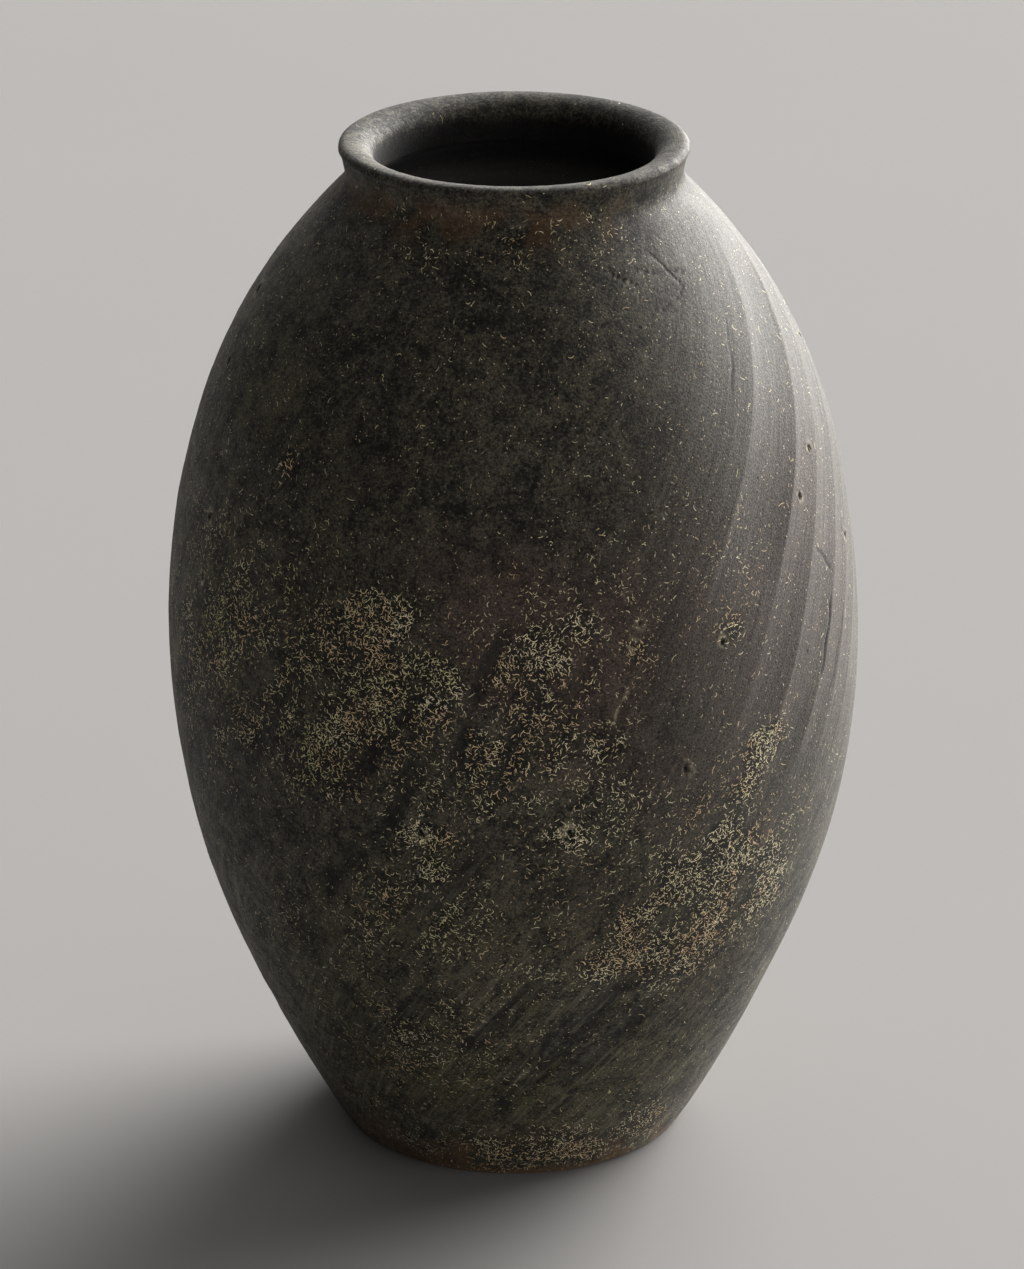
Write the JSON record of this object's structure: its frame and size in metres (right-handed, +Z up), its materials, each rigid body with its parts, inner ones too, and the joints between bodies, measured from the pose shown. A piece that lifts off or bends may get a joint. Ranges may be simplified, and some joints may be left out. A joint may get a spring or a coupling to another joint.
{
  "type": "clay storage jar",
  "caption": "Wide-bellied dark clay jar with a small flat foot, steep rounded shoulder, short flared collar and rolled lip.",
  "frame": {"origin": "centre of the flat underside that the jar stands on", "axes": "+Z up along the jar's axis, from the foot to the mouth; +X and +Y lie in the ground plane"},
  "size_m": [0.3469, 0.3468, 0.52],
  "materials": {
    "clay_base": "matte, worn, stained with brown earth",
    "clay_wall": "matte black clay, brushed and scraped by hand, with pale fibre flecks",
    "clay_rim": "smoothed matte black clay with fine turning lines"
  },
  "bodies": {
    "root": {"base_disc": "clay_base", "foot_course": "clay_wall", "lower_belly_course": "clay_wall", "mid_belly_course": "clay_wall", "upper_belly_course": "clay_wall", "shoulder_course": "clay_wall", "neck_collar": "clay_rim", "rim_lip": "clay_rim"}
  },
  "joints": []
}
